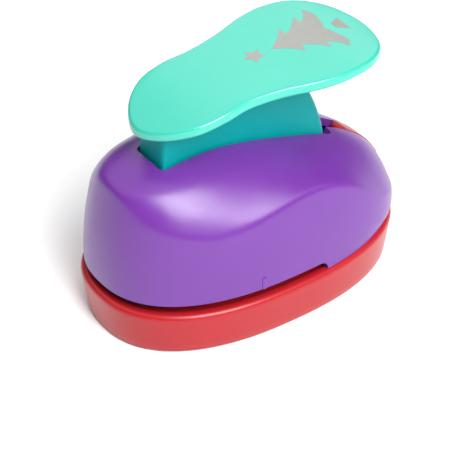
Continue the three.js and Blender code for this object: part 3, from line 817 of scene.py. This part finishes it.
def plate_ring(inset, depth, share=1.0):
    """A ring of the plate, drawn in from its plan, at a depth, and shrunk towards the middle."""

    def place(x, y):
        k = round(circle_angle(x, y) / (2 * math.pi) * PLATE_SIDES) % PLATE_SIDES
        here = plate_plan[k]
        ahead = plate_plan[(k + 1) % PLATE_SIDES] - plate_plan[k - 1]
        inward = Vector((-ahead.y, ahead.x)).normalized()
        edge = here + inward * inset
        middle = Vector((0, edge.y * PLATE_MIDDLE))
        at = middle.lerp(edge, share)
        return at.x, at.y, plate_top(at.y) - PLATE_DROP - depth

    return place


bm = bmesh.new()
bmesh.ops.create_circle(bm, segments=PLATE_SIDES, radius=1)
full = PLATE_THICK - PLATE_DROP
upper_edge = rounding(PLATE_ROUND, PLATE_ROUND_STEPS)
lower_edge = rounding(PLATE_UNDER_ROUND, PLATE_ROUND_STEPS)
rings = [plate_ring(PLATE_ROUND, 0, share) for share in PLATE_SPREAD]
rings += [plate_ring(inset, drop) for inset, drop in reversed(upper_edge)]
rings += [plate_ring(inset, full - drop) for inset, drop in lower_edge]
rings += [plate_ring(PLATE_UNDER_ROUND, full, share) for share in reversed(PLATE_SPREAD)]
raise_rings(bm, rings)
finish_piece(bm, "thumb_plate", "lever", MINT, ["lever_plate"])

# %% [markdown]
# The picture on the plate shows what the punch cuts: a star, a tree and its trunk. Each patch of
# foil is an outline, made a thin sheet, cut into strips and laid on the plate's curve. It stands
# three hundredths of a millimetre proud, so that it catches the light by itself.

# %% The foil picture
FOIL_X = -1.0
STAR_CENTRE = 5.3
STAR_RADIUS = 3.1
STAR_INNER = 0.48
TREE_TIP = 10.2
TRUNK_TOP = TREE_TIP + 19.6
TRUNK_FOOT = TREE_TIP + 22.8
TRUNK_HALF = {"top": 1.3, "foot": 3.0}
STRIP = 1.3
FIRST_STRIP = 0.9
FOIL_PROUD = 0.03


def quadratic(start, control, end, steps):
    a, b, c = Vector(start), Vector(control), Vector(end)
    shares = [k / steps for k in range(1, steps + 1)]
    return [a * (1 - t) ** 2 + b * 2 * t * (1 - t) + c * t ** 2 for t in shares]


def tree_points():
    """The tree: three tiers of swept boughs, drawn as its right half and mirrored."""
    bows = [
        ((2.2, 4.6), (6.0, 6.6)), ((4.6, 7.4), (3.0, 7.0)),
        ((4.8, 10.6), (8.2, 12.8)), ((6.8, 13.6), (5.0, 13.1)),
        ((7.0, 15.6), (10.0, 17.0)), ((8.8, 18.6), (6.6, 18.5)), ((3.6, 18.2), (0, 16.6)),
    ]
    right = [Vector((0, 0))]
    for control, end in bows:
        right += quadratic(right[-1], control, end, 5)
    left = [Vector((-point.x, point.y)) for point in reversed(right[1:-1])]
    return [(point.x + FOIL_X, point.y + TREE_TIP) for point in right + left]


def star_points():
    radii = [STAR_RADIUS, STAR_INNER * STAR_RADIUS] * 5
    turns = [k * math.pi / 5 for k in range(10)]
    return [(FOIL_X + r * math.sin(t), STAR_CENTRE - r * math.cos(t)) for r, t in zip(radii, turns)]


def trunk_points():
    top, foot = TRUNK_HALF["top"], TRUNK_HALF["foot"]
    corners = [(-top, TRUNK_TOP), (top, TRUNK_TOP), (foot, TRUNK_FOOT), (-foot, TRUNK_FOOT)]
    return [(FOIL_X + x, y) for x, y in corners]


def foil_patch(name, outline):
    bm = bmesh.new()
    face = bm.faces.new([bm.verts.new((x, y, 0)) for x, y in outline])
    made = bmesh.ops.extrude_face_region(bm, geom=[face])["geom"]
    moved = [part for part in made if isinstance(part, bmesh.types.BMVert)]
    bmesh.ops.translate(bm, verts=moved, vec=(0, 0, 2 * FOIL_PROUD))
    along = [y for _, y in outline]
    for y in np.arange(min(along) + FIRST_STRIP, max(along), STRIP):
        bmesh.ops.bisect_plane(bm, geom=bm.verts[:] + bm.edges[:] + bm.faces[:],
                               plane_co=(0, y, 0), plane_no=(0, 1, 0), dist=WELD)
    for vert in bm.verts:
        vert.co.z += plate_top(vert.co.y) - PLATE_DROP - FOIL_PROUD
    finish_piece(bm, name, "lever", FOIL)


foil_patch("foil_star", star_points())
foil_patch("foil_tree", tree_points())
foil_patch("foil_trunk", trunk_points())

# %% [markdown]
# Two small marks of the moulding finish the shells: a short rib on each side of the cover's lower
# edge, and a thin witness line on each side of the base where the tool's halves met.

# %% Moulding marks
RIB_SIDES = 12
RIB_STEPS = 6
RIB_TIP = 0.02
RIB_SINK = 0.3
COVER_RIB = {"y": -10.3, "height": (COVER_EDGE + 0.1, 18.6), "half": 0.65, "proud": 0.30}
WITNESS_LINE = {"height": (2.6, 9.2), "half": 0.16, "proud": 0.05}


def wall_rib(name, at, rib, finish):
    """A thin upright rib with a round face on the body's wall. `at` gives (x, y) at a height."""
    half, proud = rib["half"], rib["proud"]
    low, high = rib["height"]
    for side, sign in (("left", -1), ("right", 1)):
        bm = bmesh.new()
        bmesh.ops.create_circle(bm, segments=RIB_SIDES, radius=1)

        def rib_ring(z, grow):
            x, y = at(z)
            sink = RIB_SINK * (1 - grow)
            return lambda u, v: (sign * (x + proud * grow * u - sink), y + half * grow * v, z)

        levels = [low + (high - low) * k / RIB_STEPS for k in range(RIB_STEPS + 1)]
        middle = [rib_ring(z, 1) for z in levels]
        ends = [rib_ring(z, RIB_TIP) for z in (low - half / 2, high + half / 2)]
        raise_rings(bm, [ends[0], *middle, ends[1]])
        bmesh.ops.holes_fill(bm, edges=bm.edges, sides=RIB_SIDES)
        finish_piece(bm, "%s_%s" % (name, side), "base", finish)


def cover_side(y):
    angle = math.acos((abs(y) / (BODY_LENGTH / 2 - COVER_INSET)) ** (OVAL_POWER / 2))
    return lambda z: wall_point(angle, z)[:2]


def base_side(z):
    wall_top = RIM_TOP - RIM_RADIUS
    return BODY_WIDTH / 2 - BASE_FLARE * (wall_top - z) / (wall_top - FLOOR_GAP), 0.0


wall_rib("cover_rib", cover_side(COVER_RIB["y"]), COVER_RIB, PURPLE)
wall_rib("witness_line", base_side, WITNESS_LINE, RED)

# %% [markdown]
# Under the base sit round rubber feet and the heads of the screws. A foot is a short disc with an
# eased edge, and a column of the base carries it. A boss in the cover takes each cover screw.
# Columns and bosses are profiles spun once round. A screw is raised in rings, and its last rings
# narrow to the cross that a driver fits.

# %% Feet and screws
COLUMN_RADIUS = 3.8
BOSS_RADIUS = 3.2
SCREW_HEAD_RADIUS = 2.2
SCREW_HEAD_HEIGHT = 1.4
SCREW_RADIUS = 1.1
SCREW_HEAD_ROUND = 0.8
SCREW_SIDES = 48
BOSS_ABOVE_SCREW = 1
POST_SPREAD = 0.9
POST_FILLET = ((0, 0), (0.15, 0.5), (0.45, 0.85), (POST_SPREAD, 1))
CLOSED_RADIUS = 0.001
SCREW_TIP = ((CLOSED_RADIUS, 0), (0.5 * SCREW_RADIUS, 0.2), (SCREW_RADIUS, 1))
CROSS_FLANK = math.radians(15)
CROSS_STEPS = ((0.6, 0), (0.56, 0.1), (0.4, 0.9))
CROSS_DEPTH = 1.1
TINY = 1e-9


def foot(node):
    low, high = box_mm(node)
    middle = (low + high) / 2
    radius = (high.x - low.x) / 2
    bm = bmesh.new()
    bmesh.ops.create_cone(bm, cap_ends=True, segments=40, radius1=radius, radius2=radius,
                          depth=high.z - low.z, matrix=Matrix.Translation(middle))
    under = [e for e in bm.edges if all(vert.co.z < middle.z for vert in e.verts)]
    soften(bm, under, 0.5, 4)
    finish_piece(bm, "rubber_" + node, "base", RUBBER, [node])


def spun_piece(name, place, profile, finish, nodes=()):
    """A profile of (radius, z) spun once round an upright line."""
    bm = bmesh.new()
    verts = [bm.verts.new((radius, 0, z)) for radius, z in profile]
    edges = [bm.edges.new(pair) for pair in zip(verts, verts[1:])]
    bmesh.ops.spin(bm, geom=verts + edges, cent=(0, 0, 0), axis=(0, 0, 1), dvec=(0, 0, 0),
                   angle=2 * math.pi, steps=SCREW_SIDES, use_merge=True)
    bmesh.ops.translate(bm, verts=bm.verts, vec=(place.x, place.y, 0))
    finish_piece(bm, name, "base", finish, nodes)


def post(name, place, radius, low, high, finish):
    """A round post between two heights, eased below and spreading into what it stands on above."""
    fillet = [(radius + inset, high - POST_SPREAD * (1 - drop)) for inset, drop in POST_FILLET]
    eased = [(radius - inset, low + drop) for inset, drop in reversed(rounding(EDGE, 3))]
    spun_piece(name, place, [(0, low), *eased, *fillet, (0, high)], finish)


def cross_radius(turn, reach):
    """How far a cross with arms of this reach goes out at an angle."""
    off = (turn + math.pi / 4) % (math.pi / 2) - math.pi / 4
    side = reach * math.tan(CROSS_FLANK)
    return min(reach / math.cos(off), side / max(abs(math.sin(off)), TINY))


def cross_screw(node):
    """A screw with its head below: spun rings, of which the last ones narrow to a sunk cross."""
    low, high = box_mm(node)
    place = (low + high) / 2
    seat = low.z + SCREW_HEAD_HEIGHT

    def round_ring(radius, z):
        return lambda x, y: (place.x + radius * x, place.y + radius * y, z)

    def cross_ring(reach, z):
        def at(x, y):
            radius = cross_radius(math.atan2(y, x), reach)
            return place.x + radius * x, place.y + radius * y, z

        return at

    bm = bmesh.new()
    bmesh.ops.create_circle(bm, segments=SCREW_SIDES, radius=1)
    rings = [round_ring(radius, high.z - drop) for radius, drop in SCREW_TIP]
    rings += [round_ring(SCREW_RADIUS, seat), round_ring(SCREW_HEAD_RADIUS, seat)]
    rings += [round_ring(SCREW_HEAD_RADIUS - inset, low.z + drop)
              for inset, drop in rounding(SCREW_HEAD_ROUND, 6)]
    rings += [cross_ring(share * SCREW_HEAD_RADIUS, low.z + depth) for share, depth in CROSS_STEPS]
    rings += [cross_ring(CLOSED_RADIUS, low.z + CROSS_DEPTH)]
    raise_rings(bm, rings)
    finish_piece(bm, "cross_" + node, "base", PLATED_STEEL, [node])


for name in sorted(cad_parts):
    if name.startswith("foot_"):
        foot(name)
        post(name.replace("foot", "column"), centre_mm(name), COLUMN_RADIUS, box_mm(name)[1].z,
             DECK_UNDER, RED)
    if name.startswith(("base_screw", "cover_screw")):
        cross_screw(name)
    if name.startswith("cover_screw"):
        spot = centre_mm(name)
        post(name.replace("screw", "boss"), spot, BOSS_RADIUS, COVER_LOW,
             box_mm(name)[1].z + BOSS_ABOVE_SCREW, PURPLE)

# %% [markdown]
# Finally the parts of the frame that already have their true shape get their real metal.

# %% Metal for the frame's own parts
METAL_FOR = {
    "die_plate": GROUND_STEEL, "tree_cutter": GROUND_STEEL, "star_cutter": GROUND_STEEL,
    "trunk_cutter": GROUND_STEEL, "throat_spacer": CAST_ZINC, "guide_block": CAST_ZINC,
    "punch_head": CAST_ZINC, "pivot_pin": PLATED_STEEL, "pin_clip": PLATED_STEEL,
    "guide_post": GROUND_STEEL, "return_spring": SPRING_WIRE, "frame_screw": PLATED_STEEL,
    "head_screw": PLATED_STEEL, "lever_screw": PLATED_STEEL,
}
for name, node in sorted(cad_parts.items()):
    for start, finish in METAL_FOR.items():
        if name.startswith(start):
            node.data.materials.clear()
            node.data.materials.append(finish)

# %% [markdown]
# The studio's floor is matt paper, pale enough to run out to white. A faint fibre keeps it from
# being one flat tone.

# %% Floor
FLOOR_HALF = 4
PAPER_FIBRE_MM = 30

bm = bmesh.new()
bmesh.ops.create_grid(bm, x_segments=1, y_segments=1, size=FLOOR_HALF)
floor_mesh = bpy.data.meshes.new("studio_floor")
bm.to_mesh(floor_mesh)
bm.free()
floor = bpy.data.objects.new("studio_floor", floor_mesh)
bpy.context.scene.collection.objects.link(floor)
floor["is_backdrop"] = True


def paper_floor():
    material, tree, place = start_material("studio_paper_matt")
    fibre = add(tree, "ShaderNodeTexNoise", {"Vector": place, "Scale": per_metre(PAPER_FIBRE_MM),
                                            "Detail": 3.0})
    colour = add(tree, "ShaderNodeMix",
                 {"Factor": fibre.outputs["Fac"], "A": linear("fcfcfc"), "B": linear("f9f9f9")},
                 data_type="RGBA")
    shader = add(tree, "ShaderNodeBsdfPrincipled",
                 {"Base Color": colour.outputs["Result"], "Roughness": 0.9})
    finish_material(tree, shader)
    return material


floor_mesh.materials.append(paper_floor())

# %% [markdown]
# A large softbox to one side draws the main highlight on the cover. A wider one overhead fills the
# top, and two weak ones lift the back and the far side. A little even light opens the shadows.

# %% Light
scene = bpy.context.scene
scene.view_settings.view_transform = "Standard"
world = bpy.data.worlds.new("studio")
world.use_nodes = True
world.node_tree.nodes["Background"].inputs["Color"].default_value = linear("ffffff")
world.node_tree.nodes["Background"].inputs["Strength"].default_value = 0.15
scene.world = world
AIM = Vector((0, 0, 0.03))


def softbox(name, place, width, height, power):
    """An area light in the studio, turned towards the object."""
    light = bpy.data.lights.new(name, "AREA")
    light.shape = "RECTANGLE"
    light.size = width
    light.size_y = height
    light.energy = power
    lamp = bpy.data.objects.new(name, light)
    lamp.location = place
    lamp.rotation_euler = (AIM - lamp.location).to_track_quat("-Z", "Y").to_euler()
    scene.collection.objects.link(lamp)


softbox("key", Vector((0.58, -0.03, 0.66)), 0.50, 0.62, 13.2)
softbox("overhead", Vector((-0.35, -0.25, 1.15)), 1.6, 1.6, 7.6)
softbox("rear", Vector((-0.68, 0.49, 0.57)), 0.6, 0.6, 1.7)
softbox("side", Vector((0.45, 0.60, 0.50)), 0.5, 0.5, 0.5)

# %% [markdown]
# The camera stands where such a product is usually shown from, high over one front corner, with a
# long lens so that the lines stay calm.

# %% Camera
AZIMUTH = math.radians(55)
ELEVATION = math.radians(38)
TARGET = Vector((0.009, -0.0074, 0.020))
DISTANCE = 0.5292
SENSOR_MM = 36
LENS_MM = 160.8
back = Vector((math.sin(AZIMUTH) * math.cos(ELEVATION), -math.cos(AZIMUTH) * math.cos(ELEVATION),
               math.sin(ELEVATION)))
camera_data = bpy.data.cameras.new("camera")
camera_data.sensor_width = SENSOR_MM
camera_data.lens = LENS_MM
camera_data.clip_start = 0.01
camera_data.clip_end = 20
camera = bpy.data.objects.new("camera", camera_data)
camera.location = TARGET + back * DISTANCE
camera.rotation_euler = (-back).to_track_quat("-Z", "Y").to_euler()
scene.collection.objects.link(camera)
scene.camera = camera

# %% [markdown]
# Last, the box round the finished looks is printed beside the frame's own, so that any growth
# shows.

# %% Compare sizes and finish
bpy.context.view_layer.update()
visual_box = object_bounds()
for label, (low, high) in (("frame", cad_box), ("looks", visual_box)):
    print(label, [round(v / MM, 2) for v in (*low, *high)])
